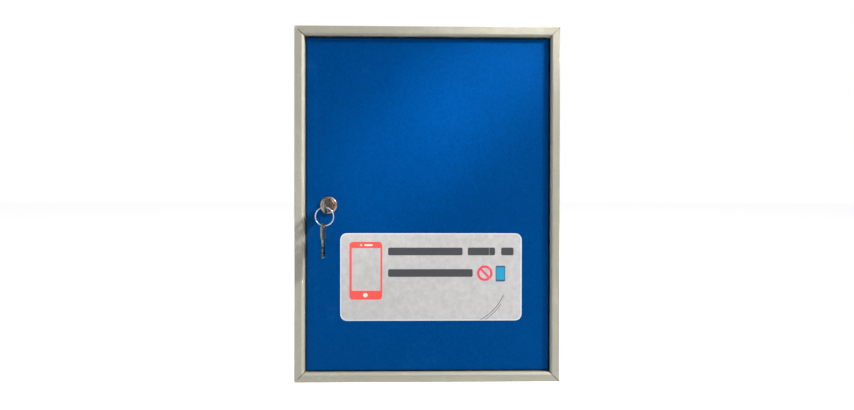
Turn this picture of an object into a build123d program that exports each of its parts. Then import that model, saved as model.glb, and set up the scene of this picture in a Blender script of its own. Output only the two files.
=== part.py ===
from build123d import *
import os
from math import sqrt

os.makedirs("parts", exist_ok=True)

# Wall cabinet for cell phones, in mm. Its front faces -Y and +Z is up.
# The origin is the centre of the back face, which hangs on the wall.

# Cabinet overall
cabinet_width = 300.0
cabinet_height = 403.0
cabinet_depth = 120.0

# Aluminium wall profile: u runs inward from the outer face, v back from the front
lip_width = 10.5
lip_bevel = 2.3
arris_radius = 0.6
bevel_blend = 0.5
face_wall = 1.6
outer_wall = 1.6
web_wall = 1.4
pivot_chamber = 13.6
key_chamber = 6.2
rear_box_width = 9.5
rear_box_depth = 13.0
mitre_gap = 0.3
slack_mitre_gap = 0.9

# Corner keys inside the profile
key_leg = 27.0
key_fit = 0.15
key_corner_radius = 1.2

# Back panel and the screws around it
panel_thickness = 1.2
panel_gap = 0.4
rim_screw_length = 7.0
rim_screw_radius = 1.5
rim_screw_head_radius = 2.7
rim_screw_inset = 5.0
rim_screw_pitch_z = 140.0
rim_screw_pitch_x = 130.0
wall_hole_radius = 3.25
wall_hole_slots_apart = 7
wall_hole_spacing_z = 320.0

# Sheet-steel door: a folded tray that sits inside the front opening
sheet = 1.0
door_gap = 1.3
door_recess = 5.5
door_depth = 15.0
bend_radius = 1.8
return_lip = 9.0
return_slit = 0.5

# Door pivots
pivot_inset_x = 8.0
pivot_inset_y = 5.0
pivot_radius = 2.5
pivot_reach = 5.0
pivot_head_radius = 3.5
pivot_head_height = 2.0
pivot_tip_chamfer = 0.75
pivot_running_fit = 0.05
bush_wall = 1.5
bush_flange_radius = 5.6
bush_clearance = 0.3
bracket_thickness = 2.0
bracket_length = 22.0
bracket_leg = 30.0
bracket_bend = 1.6
bracket_fit = 0.2

# Door stops on the lock side
stop_height = 22.0
stop_thickness = 1.5
stop_reach = 9.0
stop_leg = 12.0
stop_offset_z = 150.0
stop_rivet_inset = 3.2
pad_radius = 3.5
pad_bevel = 0.7
pad_stem_radius = 1.6
pad_barb_radius = 2.2
pad_clearance = 0.3
rivet_radius = 1.6
rivet_head_radius = 3.0
rivet_head_height = 0.9
rivet_head_bevel = 0.5

# Cam lock
lock_inset_x = 25.7
lock_z = -1.0
lock_flange_radius = 10.0
lock_flange_height = 2.6
lock_flange_bevel = 1.2
lock_barrel_radius = 8.0
lock_barrel_flat = 7.0
lock_hole_fit = 0.1
plug_radius = 5.75
plug_running_fit = 0.05
plug_recess = 0.3
plug_tail = 6.0
tail_fit = 0.05
nut_across_flats = 21.0
nut_thickness = 3.5
washer_radius = 11.0
washer_thickness = 0.8
cam_thickness = 2.0
cam_length = 32.0
cam_hub_radius = 8.0
cam_tip_radius = 5.5
cam_clearance = 0.3
cam_screw_radius = 2.0
cam_screw_head_radius = 4.0
cam_screw_head_height = 2.4
cam_screw_bevel = 1.0
cam_screw_length = 5.0

# Keys and split ring
key_thickness = 2.0
blade_width = 7.6
blade_length = 20.6
blade_tip_chamfer = 2.3
bow_width = 17.4
bow_length = 18.0
bow_corner = 5.0
bow_hole_radius = 3.0
bow_hole_inset = 4.4
key_neck = 3.4
keyway_fit = 0.15
cut_depths = (1.1, 1.7, 0.8, 1.5, 1.0)
first_cut = 2.6
cut_pitch = 2.9
ring_outer_radius = 11.0
ring_wire_height = 1.5
ring_turn_width = 0.9
ring_sag = 1.7
ring_split = 0.6
ring_wire_bevel = 0.3
spare_shift = -1.5

# Printed sheet on the door
label_width = 206.6
label_height = 99.8
label_radius = 7.5
label_thickness = 0.25
label_x = 3.8
label_z = -82.8

# Phone rack: three shelves and two rows of dividers
dividers_per_row = 9
rack_setback = 11.8
rack_sheet = 1.0
rack_side_gap = 0.5
shelf_lip = 8.0
shelf_back_flange = 12.0
shelf_bend = 1.5
divider_sheet = 1.0
divider_back_gap = 0.6
divider_fit = 0.1
notch_depth = 20.0
notch_length = 70.0
divider_corner = 4.0
tab_length = 11.0
tab_height = 0.9
bottom_tab_inset = 14.0
top_tab_inset = 30.0
rack_rivet_drop = 7.0

# Places that follow from the sizes above
front_y = -cabinet_depth
half_width = cabinet_width / 2
half_height = cabinet_height / 2
opening_half_width = half_width - lip_width
opening_half_height = half_height - lip_width
partition_v = face_wall + pivot_chamber
front_box_depth = partition_v + web_wall + key_chamber + web_wall
front_box_back_y = front_y + front_box_depth
rear_inner_v = cabinet_depth - panel_thickness
rear_box_v = rear_inner_v - rear_box_depth
panel_front_y = -panel_thickness

door_half_width = opening_half_width - door_gap
door_half_height = opening_half_height - door_gap
door_face_y = front_y + door_recess
door_back_y = door_face_y + door_depth
hinge_x = door_half_width - pivot_inset_x
hinge_y = door_face_y + pivot_inset_y
bush_bore_radius = pivot_radius + pivot_running_fit
bush_outer_radius = bush_bore_radius + bush_wall

lock_x = -door_half_width + lock_inset_x
cam_front_y = front_box_back_y + cam_clearance
cam_back_y = cam_front_y + cam_thickness
plug_front_y = door_face_y - lock_flange_height + plug_recess
key_shoulder_y = plug_front_y - key_neck
bow_hole_y = key_shoulder_y - bow_length + bow_hole_inset
ring_radius = ring_outer_radius - ring_wire_height / 2
ring_centre_z = lock_z - ring_sag - ring_radius
spare_hole_z = ring_centre_z - sqrt(ring_radius**2 - spare_shift**2) - ring_sag

stop_plate_x = -opening_half_width + stop_reach
stop_pad_x = -door_half_width + return_lip / 2
stop_rivet_x = -opening_half_width - stop_rivet_inset

rack_front_y = front_box_back_y + rack_setback
rack_depth = panel_front_y - rack_front_y
rack_half_width = half_width - outer_wall - rack_side_gap
rack_back_half_width = half_width - rear_box_width - rack_side_gap
rack_half_height = half_height - rear_box_width - rack_sheet
slot_pitch = 2 * opening_half_width / (dividers_per_row + 1)
divider_xs = [slot_pitch * (i - (dividers_per_row - 1) / 2) for i in range(dividers_per_row)]
wall_hole_spacing_x = wall_hole_slots_apart * slot_pitch

rim_screws = [
    (s * (half_width - rim_screw_inset), n * rim_screw_pitch_z)
    for s in (-1, 1)
    for n in (-1, 0, 1)
]
rim_screws += [
    (n * rim_screw_pitch_x / 2, s * (half_height - rim_screw_inset))
    for s in (-1, 1)
    for n in (-1, 1)
]
top_rivet_z = rack_half_height - rack_rivet_drop
rack_rivets = [
    (s * wall_hole_spacing_x / 2, z)
    for s in (-1, 1)
    for z in (-top_rivet_z, -rack_rivet_drop, top_rivet_z)
]

# Each wall: the way inward, how far out it lies, and half its length
walls = {
    "left": (Vector(1, 0, 0), half_width, half_height),
    "right": (Vector(-1, 0, 0), half_width, half_height),
    "top": (Vector(0, 0, -1), half_height, half_width),
    "bottom": (Vector(0, 0, 1), half_height, half_width),
}


def save(builder, name):
    builder.part.label = name
    export_step(builder.part, f"parts/{name}.step")


def front_plane(y, x=0.0, z=0.0):
    # Seen from the front: local x is +X, local y is +Z, and the normal is -Y
    return Plane(origin=(x, y, z), x_dir=(1, 0, 0), z_dir=(0, -1, 0))


def back_plane(y, x=0.0, z=0.0):
    # The normal is +Y, so that holes drilled from here go towards the front
    return Plane(origin=(x, y, z), x_dir=(1, 0, 0), z_dir=(0, 1, 0))


def turning_plane(x, z):
    # For a profile turned about an axis along Y: local x is the radius and local y is +Y
    return Plane(origin=(x, 0, z), x_dir=(1, 0, 0), z_dir=(0, 0, 1))


# The wall profile's section: hollow front lip, thin wall, hollow rear box with a rebate
lip_inner_u = lip_width - web_wall
chamber_corner = lip_bevel + (sqrt(2) - 1) * web_wall - face_wall
with BuildSketch() as wall_section:
    with BuildLine():
        Polyline(
            (0, 0),
            (lip_width - lip_bevel, 0),
            (lip_width, lip_bevel),
            (lip_width, front_box_depth),
            (outer_wall, front_box_depth),
            (outer_wall, rear_box_v),
            (rear_box_width, rear_box_v),
            (rear_box_width, rear_inner_v),
            (outer_wall, rear_inner_v),
            (outer_wall, cabinet_depth),
            (0, cabinet_depth),
            close=True,
        )
    make_face()
    fillet(vertices().sort_by(lambda v: v.Y - v.X)[0:2], radius=bevel_blend)
    fillet(vertices().sort_by(lambda v: v.Y + v.X)[0], radius=arris_radius)
    with BuildLine():
        Polyline(
            (outer_wall, face_wall),
            (lip_inner_u - chamber_corner, face_wall),
            (lip_inner_u, face_wall + chamber_corner),
            (lip_inner_u, partition_v),
            (outer_wall, partition_v),
            close=True,
        )
    make_face(mode=Mode.SUBTRACT)
    with Locations((outer_wall, partition_v + web_wall)):
        Rectangle(lip_inner_u - outer_wall, key_chamber, align=Align.MIN, mode=Mode.SUBTRACT)
    with Locations((outer_wall, rear_box_v + web_wall)):
        Rectangle(
            rear_box_width - web_wall - outer_wall,
            rear_box_depth - 2 * web_wall,
            align=Align.MIN,
            mode=Mode.SUBTRACT,
        )

# Four mitred lengths of the profile make the cabinet's walls and its front frame
for side, (inward, reach, half_length) in walls.items():
    run = inward.cross(Vector(0, 1, 0))
    outer_line = inward * -reach + Vector(0, front_y, 0)
    with BuildPart() as profile:
        with BuildSketch(Plane(origin=outer_line, x_dir=inward, z_dir=run)):
            add(wall_section.sketch)
        extrude(amount=half_length, both=True)
        for end in (1, -1):
            end_gap = slack_mitre_gap if side == "left" and run.Z * end > 0 else mitre_gap
            tip = outer_line + run * (end * (half_length - end_gap / sqrt(2)))
            split(bisect_by=Plane(origin=tip, z_dir=inward + run * end), keep=Keep.BOTTOM)
        if side in ("top", "bottom"):
            web_z = -inward.Z * (opening_half_height + web_wall / 2)
            with Locations((hinge_x, hinge_y, web_z)):
                Cylinder(bush_outer_radius, 2 * web_wall, mode=Mode.SUBTRACT)
        if side == "left":
            with Locations([(stop_rivet_x, front_box_back_y, s * stop_offset_z) for s in (-1, 1)]):
                Cylinder(rivet_radius, 3 * web_wall, rotation=(90, 0, 0), mode=Mode.SUBTRACT)
        on_side = [(x, z) for x, z in rim_screws if inward.dot(Vector(x, 0, z)) < 2 * rim_screw_inset - reach]
        with Locations([(x, panel_front_y, z) for x, z in on_side]):
            Cylinder(rim_screw_radius, 3 * web_wall, rotation=(90, 0, 0), mode=Mode.SUBTRACT)
    save(profile, f"wall_profile_{side}")

# L-shaped keys join the mitres, front and rear
for name, back_v, depth, inner_u in (
    ("corner_keys_front", partition_v + web_wall + key_chamber, key_chamber, lip_inner_u),
    ("corner_keys_rear", rear_inner_v - web_wall, rear_box_depth - 2 * web_wall, rear_box_width - web_wall),
):
    near = outer_wall + key_fit
    far = inner_u - key_fit
    with BuildPart() as corner_keys:
        with BuildSketch(front_plane(front_y + back_v - key_fit)):
            with BuildLine():
                Polyline(
                    (half_width - near, half_height - near),
                    (half_width - near, half_height - key_leg),
                    (half_width - far, half_height - key_leg),
                    (half_width - far, half_height - far),
                    (half_width - key_leg, half_height - far),
                    (half_width - key_leg, half_height - near),
                    close=True,
                )
            make_face()
            fillet(vertices().sort_by(lambda v: v.X + v.Z)[-1], radius=key_corner_radius)
            mirror(about=Plane.YZ)
            mirror(about=Plane.XZ)
        extrude(amount=depth - 2 * key_fit)
    save(corner_keys, name)

# Back panel: lies in the rebate, flush with the walls' rear edges
with BuildPart() as back_panel:
    with BuildSketch(front_plane(0)):
        Rectangle(2 * (half_width - outer_wall - panel_gap), 2 * (half_height - outer_wall - panel_gap))
        with GridLocations(wall_hole_spacing_x, wall_hole_spacing_z, 2, 2):
            Circle(wall_hole_radius, mode=Mode.SUBTRACT)
    extrude(amount=panel_thickness)
    with Locations([back_plane(0, x, z) for x, z in rim_screws + rack_rivets]):
        CounterSinkHole(rim_screw_radius, rim_screw_head_radius, panel_thickness, 90)
save(back_panel, "back_panel")

# Countersunk self-tapping screws around the back panel
csk_depth = rim_screw_head_radius - rim_screw_radius
with BuildPart() as rim_screw:
    with BuildSketch(Plane.XZ):
        with BuildLine():
            Polyline(
                (0, 0),
                (rim_screw_head_radius, 0),
                (rim_screw_radius, csk_depth),
                (rim_screw_radius, rim_screw_length),
                (0, rim_screw_length),
                close=True,
            )
        make_face()
    revolve(axis=Axis.Z)
with BuildPart() as rim_screw_set:
    with Locations([front_plane(0, x, z) for x, z in rim_screws]):
        add(rim_screw.part)
save(rim_screw_set, "rim_screws")

# Countersunk rivets hold the shelves' back flanges to the back panel
grip = panel_thickness + rack_sheet
with BuildPart() as rack_rivet:
    with BuildSketch(Plane.XZ):
        with BuildLine():
            Polyline(
                (0, 0),
                (rim_screw_head_radius, 0),
                (rim_screw_radius, csk_depth),
                (rim_screw_radius, grip),
                (rivet_head_radius, grip),
                (rim_screw_radius, grip + rivet_head_height),
                (0, grip + rivet_head_height),
                close=True,
            )
        make_face()
    revolve(axis=Axis.Z)
with BuildPart() as rack_rivet_set:
    with Locations([front_plane(0, x, z) for x, z in rack_rivets]):
        add(rack_rivet.part)
save(rack_rivet_set, "rack_rivets")

# Shelves: sheet folded to a front lip and a back flange, slotted for the dividers' tabs
shelf_front_y = rack_front_y + rack_sheet / 2
shelf_back_y = panel_front_y - rack_sheet / 2
outer_mid_z = rack_half_height + rack_sheet / 2
outer_lip_z = half_height - outer_wall - divider_back_gap
tab_slots = {}
for row_end, inset in (("bottom", bottom_tab_inset), ("top", top_tab_inset)):
    tab_slots[row_end] = [rack_front_y + inset, panel_front_y - inset]
for name, mid_z, lip_z, flange_z, slot_ys in (
    (
        "rack_floor",
        -outer_mid_z,
        -outer_lip_z,
        shelf_back_flange - outer_mid_z,
        tab_slots["bottom"],
    ),
    (
        "rack_middle_shelf",
        0,
        -shelf_lip,
        -shelf_back_flange,
        tab_slots["bottom"] + tab_slots["top"],
    ),
    (
        "rack_roof",
        outer_mid_z,
        outer_lip_z,
        outer_mid_z - shelf_back_flange,
        tab_slots["top"],
    ),
):
    with BuildPart() as shelf:
        with BuildSketch(Plane.YZ):
            with BuildLine():
                FilletPolyline(
                    (shelf_front_y, lip_z),
                    (shelf_front_y, mid_z),
                    (shelf_back_y, mid_z),
                    (shelf_back_y, flange_z),
                    radius=shelf_bend,
                )
            trace(line_width=rack_sheet)
        extrude(amount=rack_half_width, both=True)
        for s in (-1, 1):
            with Locations((s * rack_back_half_width, panel_front_y + rack_sheet, mid_z)):
                Box(
                    2 * (rack_half_width - rack_back_half_width),
                    2 * (rear_box_depth + rack_side_gap + rack_sheet),
                    4 * shelf_back_flange,
                    align=(Align.MIN if s > 0 else Align.MAX, Align.CENTER, Align.CENTER),
                    mode=Mode.SUBTRACT,
                )
        with Locations([(x, y, mid_z) for x in divider_xs for y in slot_ys]):
            Box(
                divider_sheet + 2 * divider_fit,
                tab_length + 2 * divider_fit,
                2 * rack_sheet,
                mode=Mode.SUBTRACT,
            )
        on_flange = [(x, z) for x, z in rack_rivets if abs(z - mid_z) < shelf_back_flange]
        with Locations([(x, shelf_back_y, z) for x, z in on_flange]):
            Cylinder(rim_screw_radius, 2 * rack_sheet, rotation=(90, 0, 0), mode=Mode.SUBTRACT)
    save(shelf, name)

# Dividers: one blank, notched in front for the fingers and tabbed into the shelves
divider_height = rack_half_height - rack_sheet / 2
divider_depth = rack_depth - 2 * rack_sheet - 2 * divider_back_gap
divider_front_y = rack_front_y + rack_sheet + divider_back_gap
with BuildPart() as divider:
    with BuildSketch(Plane.YZ):
        with Locations((divider_front_y, 0)):
            Rectangle(divider_depth, divider_height, align=Align.MIN)
        with Locations((divider_front_y, divider_height / 2)):
            Trapezoid(
                notch_length + 2 * notch_depth,
                2 * notch_depth,
                45,
                rotation=-90,
                mode=Mode.SUBTRACT,
            )
        chamfer(vertices().group_by(Axis.X)[0], length=divider_corner)
        chamfer(vertices().group_by(Axis.X)[-1], length=shelf_bend)
        with Locations([(y, divider_height) for y in tab_slots["top"]]):
            Rectangle(tab_length, 2 * tab_height)
        with Locations([(y, 0) for y in tab_slots["bottom"]]):
            Rectangle(tab_length, 2 * tab_height)
    extrude(amount=divider_sheet / 2, both=True)
for row, floor_z in (("lower", -rack_half_height), ("upper", rack_sheet / 2)):
    for number, x in enumerate(divider_xs, start=1):
        with BuildPart() as placed_divider:
            with Locations((x, 0, floor_z)):
                add(divider.part)
        save(placed_divider, f"divider_{row}_{number}")

# Door: a tray folded from sheet, with a second fold inward along its back edge
pivot_places = [(hinge_x, hinge_y, s * door_half_height) for s in (-1, 1)]
with BuildPart() as door_panel:
    with BuildSketch(front_plane(door_back_y)):
        Rectangle(2 * door_half_width, 2 * door_half_height)
    extrude(amount=door_depth)
    fillet(faces().sort_by(Axis.Y)[0].edges(), radius=bend_radius)
    offset(amount=-sheet, openings=faces().sort_by(Axis.Y)[-1])
    with BuildSketch(front_plane(door_back_y)):
        Rectangle(2 * door_half_width, 2 * door_half_height)
        Rectangle(
            2 * (door_half_width - return_lip),
            2 * (door_half_height - return_lip),
            mode=Mode.SUBTRACT,
        )
        for sx in (-1, 1):
            for sz in (-1, 1):
                with Locations((sx * (door_half_width - return_lip), sz * (door_half_height - return_lip))):
                    Rectangle(
                        2 * sqrt(2) * (return_lip - sheet),
                        return_slit,
                        rotation=45 * sx * sz,
                        mode=Mode.SUBTRACT,
                    )
    extrude(amount=sheet)
    with BuildSketch(front_plane(door_back_y, lock_x, lock_z)):
        Circle(lock_barrel_radius + lock_hole_fit)
        Rectangle(
            2 * (lock_barrel_flat + lock_hole_fit),
            3 * lock_barrel_radius,
            mode=Mode.INTERSECT,
        )
    extrude(amount=2 * door_depth, mode=Mode.SUBTRACT)
    with Locations(pivot_places):
        Cylinder(bush_bore_radius, 3 * sheet, mode=Mode.SUBTRACT)
save(door_panel, "door_panel")

# Printed sheet stuck on the door
with BuildPart() as label_sheet:
    with BuildSketch(front_plane(door_face_y, label_x, label_z)):
        RectangleRounded(label_width, label_height, label_radius)
    extrude(amount=label_thickness)
save(label_sheet, "label_sheet")

# Pivot brackets: angles welded into the door's hinge-side corners
bracket_top_z = door_half_height - sheet
bracket_side_x = door_half_width - sheet
bracket_front_y = door_face_y + bend_radius + bracket_fit
bracket_back_y = door_back_y - sheet - bracket_fit
with BuildPart() as pivot_brackets:
    with BuildSketch(front_plane(bracket_back_y)):
        with BuildLine():
            Polyline(
                (bracket_side_x - bracket_length, bracket_top_z),
                (bracket_side_x, bracket_top_z),
                (bracket_side_x, bracket_top_z - bracket_leg),
                (bracket_side_x - bracket_thickness, bracket_top_z - bracket_leg),
                (bracket_side_x - bracket_thickness, bracket_top_z - bracket_thickness),
                (bracket_side_x - bracket_length, bracket_top_z - bracket_thickness),
                close=True,
            )
        make_face()
        fillet(vertices().sort_by(lambda v: v.X + v.Z)[-1], radius=bracket_bend)
    extrude(amount=bracket_back_y - bracket_front_y)
    with Locations((hinge_x, hinge_y, bracket_top_z)):
        Cylinder(bush_bore_radius, 3 * bracket_thickness, mode=Mode.SUBTRACT)
    mirror(about=Plane.XY)
save(pivot_brackets, "pivot_brackets")

# Pivot pins: headed inside the door, turning in the bushes of the top and bottom walls
pin_head_z = bracket_top_z - bracket_thickness
pin_tip_z = opening_half_height + web_wall + pivot_reach
with BuildPart() as pivot_pins:
    with BuildSketch(Plane(origin=(hinge_x, hinge_y, 0), x_dir=(1, 0, 0), z_dir=(0, -1, 0))):
        with Locations((0, pin_head_z - pivot_head_height)):
            Rectangle(pivot_head_radius, pivot_head_height, align=Align.MIN)
        with Locations((0, pin_head_z - pivot_head_height)):
            Rectangle(pivot_radius, pin_tip_z - pin_head_z + pivot_head_height, align=Align.MIN)
        chamfer(vertices().group_by(Axis.Y)[-1].sort_by(Axis.X)[-1], length=pivot_tip_chamfer)
    revolve(axis=Axis((hinge_x, hinge_y, 0), (0, 0, 1)))
    mirror(about=Plane.XY)
save(pivot_pins, "pivot_pins")

# Nylon bushes with a thrust flange under the door's pivots
bush_flange = door_gap - bush_clearance
with BuildPart() as pivot_bushes:
    with BuildSketch(Plane(origin=(hinge_x, hinge_y, 0), x_dir=(1, 0, 0), z_dir=(0, -1, 0))):
        with Locations((bush_bore_radius, opening_half_height - bush_flange)):
            Rectangle(bush_flange_radius - bush_bore_radius, bush_flange, align=Align.MIN)
        with Locations((bush_bore_radius, opening_half_height)):
            Rectangle(bush_wall, web_wall + pivot_reach, align=Align.MIN)
    revolve(axis=Axis((hinge_x, hinge_y, 0), (0, 0, 1)))
    mirror(about=Plane.XY)
save(pivot_bushes, "pivot_bushes")

# Door stops: angles riveted behind the left wall's front box, each with a rubber pad
stop_back_y = front_box_back_y + stop_thickness
stop_side_x = -half_width + outer_wall + key_fit
with BuildPart() as door_stops:
    for s in (-1, 1):
        with BuildSketch(Plane.XY.offset(s * stop_offset_z)):
            with BuildLine():
                Polyline(
                    (stop_plate_x, front_box_back_y),
                    (stop_side_x, front_box_back_y),
                    (stop_side_x, front_box_back_y + stop_leg),
                    (stop_side_x + stop_thickness, front_box_back_y + stop_leg),
                    (stop_side_x + stop_thickness, stop_back_y),
                    (stop_plate_x, stop_back_y),
                    close=True,
                )
            make_face()
            fillet(vertices().sort_by(lambda v: v.X + v.Y)[0], radius=stop_thickness)
        extrude(amount=stop_height / 2, both=True)
    with Locations([(stop_rivet_x, stop_back_y, s * stop_offset_z) for s in (-1, 1)]):
        Cylinder(rivet_radius, 3 * stop_thickness, rotation=(90, 0, 0), mode=Mode.SUBTRACT)
    with Locations([(stop_pad_x, stop_back_y, s * stop_offset_z) for s in (-1, 1)]):
        Cylinder(pad_stem_radius, 3 * stop_thickness, rotation=(90, 0, 0), mode=Mode.SUBTRACT)
save(door_stops, "door_stops")

with BuildPart() as stop_rivet:
    with BuildSketch(Plane.XZ):
        Rectangle(rivet_radius, web_wall + stop_thickness, align=Align.MIN)
        with Locations((0, web_wall + stop_thickness)):
            Rectangle(rivet_head_radius, rivet_head_height, align=Align.MIN)
        chamfer(vertices().group_by(Axis.Y)[-1].sort_by(Axis.X)[-1], length=rivet_head_bevel)
    revolve(axis=Axis.Z)
with BuildPart() as stop_rivets:
    for s in (-1, 1):
        with Locations(back_plane(front_box_back_y - web_wall, stop_rivet_x, s * stop_offset_z)):
            add(stop_rivet.part)
save(stop_rivets, "stop_rivets")

pad_height = front_box_back_y - door_back_y - pad_clearance
with BuildPart() as stop_pad:
    with BuildSketch(Plane.XZ):
        Rectangle(pad_radius, pad_height, align=Align.MIN)
        chamfer(vertices().group_by(Axis.Y)[0].sort_by(Axis.X)[-1], length=pad_bevel)
        with Locations((0, pad_height)):
            Rectangle(pad_stem_radius, stop_thickness, align=Align.MIN)
        with Locations((0, pad_height + stop_thickness)):
            Rectangle(pad_barb_radius, stop_thickness, align=Align.MIN)
    revolve(axis=Axis.Z)
with BuildPart() as stop_pads:
    for s in (-1, 1):
        with Locations(back_plane(door_back_y + pad_clearance, stop_pad_x, s * stop_offset_z)):
            add(stop_pad.part)
save(stop_pads, "stop_pads")

# Cam lock housing: flanged barrel with two flats
lock_axis = Axis((lock_x, 0, lock_z), (0, 1, 0))
with BuildPart() as lock_housing:
    with BuildSketch(turning_plane(lock_x, lock_z)):
        with BuildLine():
            Polyline(
                (plug_radius + plug_running_fit, door_face_y - lock_flange_height),
                (lock_flange_radius, door_face_y - lock_flange_height),
                (lock_flange_radius, door_face_y),
                (lock_barrel_radius, door_face_y),
                (lock_barrel_radius, front_box_back_y),
                (plug_radius + plug_running_fit, front_box_back_y),
                close=True,
            )
        make_face()
        chamfer(vertices().sort_by(lambda v: v.Y - v.X)[0], length=lock_flange_bevel)
    revolve(axis=lock_axis)
    barrel_length = front_box_back_y - door_face_y
    for s in (-1, 1):
        with Locations((lock_x + s * lock_barrel_flat, door_face_y, lock_z)):
            Box(
                lock_barrel_radius,
                barrel_length,
                2 * lock_barrel_radius,
                align=(Align.MIN if s > 0 else Align.MAX, Align.MIN, Align.CENTER),
                mode=Mode.SUBTRACT,
            )
save(lock_housing, "lock_housing")

# Washer and hex nut that clamp the housing to the door from inside
door_inner_y = door_face_y + sheet
with BuildPart() as lock_washer:
    with BuildSketch(front_plane(door_inner_y + washer_thickness, lock_x, lock_z)):
        Circle(washer_radius)
        Circle(lock_barrel_radius, mode=Mode.SUBTRACT)
    extrude(amount=washer_thickness)
save(lock_washer, "lock_washer")

nut_back_y = door_inner_y + washer_thickness + nut_thickness
with BuildPart() as lock_nut:
    with BuildSketch(front_plane(nut_back_y, lock_x, lock_z)):
        RegularPolygon(nut_across_flats / 2, 6, major_radius=False)
        Circle(lock_barrel_radius, mode=Mode.SUBTRACT)
    extrude(amount=nut_thickness)
save(lock_nut, "lock_nut")

# Lock plug: turns in the housing, slotted for the key, with a square tail for the cam
keyway_width = key_thickness + 2 * keyway_fit
keyway_height = blade_width + 2 * keyway_fit
keyway_end_y = key_shoulder_y + blade_length + keyway_fit
with BuildPart() as lock_plug:
    with BuildSketch(turning_plane(lock_x, lock_z)):
        with Locations((0, plug_front_y)):
            Rectangle(plug_radius, cam_front_y - plug_front_y, align=Align.MIN)
        chamfer(vertices().group_by(Axis.Y)[0].sort_by(Axis.X)[-1], length=plug_recess)
    revolve(axis=lock_axis)
    with Locations((lock_x, cam_front_y, lock_z)):
        Box(plug_tail, cam_thickness, plug_tail, align=(Align.CENTER, Align.MIN, Align.CENTER))
    with Locations((lock_x, plug_front_y, lock_z)):
        Box(
            keyway_width,
            keyway_end_y - plug_front_y,
            keyway_height,
            align=(Align.CENTER, Align.MIN, Align.CENTER),
            mode=Mode.SUBTRACT,
        )
    with Locations(back_plane(cam_back_y, lock_x, lock_z)):
        Hole(cam_screw_radius, cam_screw_length)
save(lock_plug, "lock_plug")

# Cam: points down when unlocked; a quarter turn takes its tip behind the left wall's front box
with BuildPart() as lock_cam:
    with BuildSketch(front_plane(cam_back_y, lock_x, lock_z)):
        Circle(cam_hub_radius)
        with Locations((0, cam_tip_radius - cam_length)):
            Circle(cam_tip_radius)
        make_hull()
        Rectangle(plug_tail + 2 * tail_fit, plug_tail + 2 * tail_fit, mode=Mode.SUBTRACT)
    extrude(amount=cam_thickness)
save(lock_cam, "lock_cam")

with BuildPart() as cam_screw:
    with BuildSketch(turning_plane(lock_x, lock_z)):
        with Locations((0, cam_back_y - cam_screw_length)):
            Rectangle(cam_screw_radius, cam_screw_length, align=Align.MIN)
        with Locations((0, cam_back_y)):
            Rectangle(cam_screw_head_radius, cam_screw_head_height, align=Align.MIN)
        chamfer(vertices().group_by(Axis.Y)[-1].sort_by(Axis.X)[-1], length=cam_screw_bevel)
    revolve(axis=lock_axis)
save(cam_screw, "cam_screw")

# Keys: local x runs from the blade's tip to the bow, with the shoulder at zero
with BuildSketch() as key_outline:
    with Locations((bow_length / 2, 0)):
        RectangleRounded(bow_length, bow_width, bow_corner)
    with Locations((-blade_length, 0)):
        Rectangle(blade_length + bow_corner, blade_width, align=(Align.MIN, Align.CENTER))
    chamfer(vertices().group_by(Axis.X)[0], length=blade_tip_chamfer)
    for number, depth in enumerate(cut_depths):
        cut_x = -key_neck - first_cut - number * cut_pitch
        for s in (-1, 1):
            with Locations((cut_x, s * blade_width / 2)):
                Rectangle(depth * sqrt(2), depth * sqrt(2), rotation=45, mode=Mode.SUBTRACT)
    with Locations((bow_length - bow_hole_inset, 0)):
        Circle(bow_hole_radius, mode=Mode.SUBTRACT)

for name, shoulder, outward, across in (
    ("inserted_key", (lock_x, key_shoulder_y, lock_z), (0, -1, 0), (0, 0, 1)),
    (
        "spare_key",
        (lock_x + spare_shift, bow_hole_y, spare_hole_z - bow_length + bow_hole_inset),
        (0, 0, 1),
        (0, 1, 0),
    ),
):
    normal = Vector(*outward).cross(Vector(*across))
    with BuildPart() as key:
        with BuildSketch(Plane(origin=shoulder, x_dir=outward, z_dir=normal)):
            add(key_outline.sketch)
        extrude(amount=key_thickness / 2, both=True)
    save(key, name)

# Split ring: two turns of flattened wire lying side by side, with the outer end stepped
with BuildPart() as key_ring:
    with BuildSketch(turning_plane(lock_x, ring_centre_z)):
        with Locations((ring_radius, bow_hole_y)):
            Rectangle(ring_wire_height, 2 * ring_turn_width)
            chamfer(vertices(), length=ring_wire_bevel)
    revolve(axis=Axis((lock_x, 0, ring_centre_z), (0, 1, 0)))
    with Locations((lock_x - ring_radius, bow_hole_y - ring_turn_width, ring_centre_z)):
        Box(2 * ring_wire_height, ring_turn_width, ring_split, mode=Mode.SUBTRACT)
save(key_ring, "key_ring")
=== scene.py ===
import math

import bmesh
import bpy
from mathutils import Matrix, Vector, noise


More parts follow.
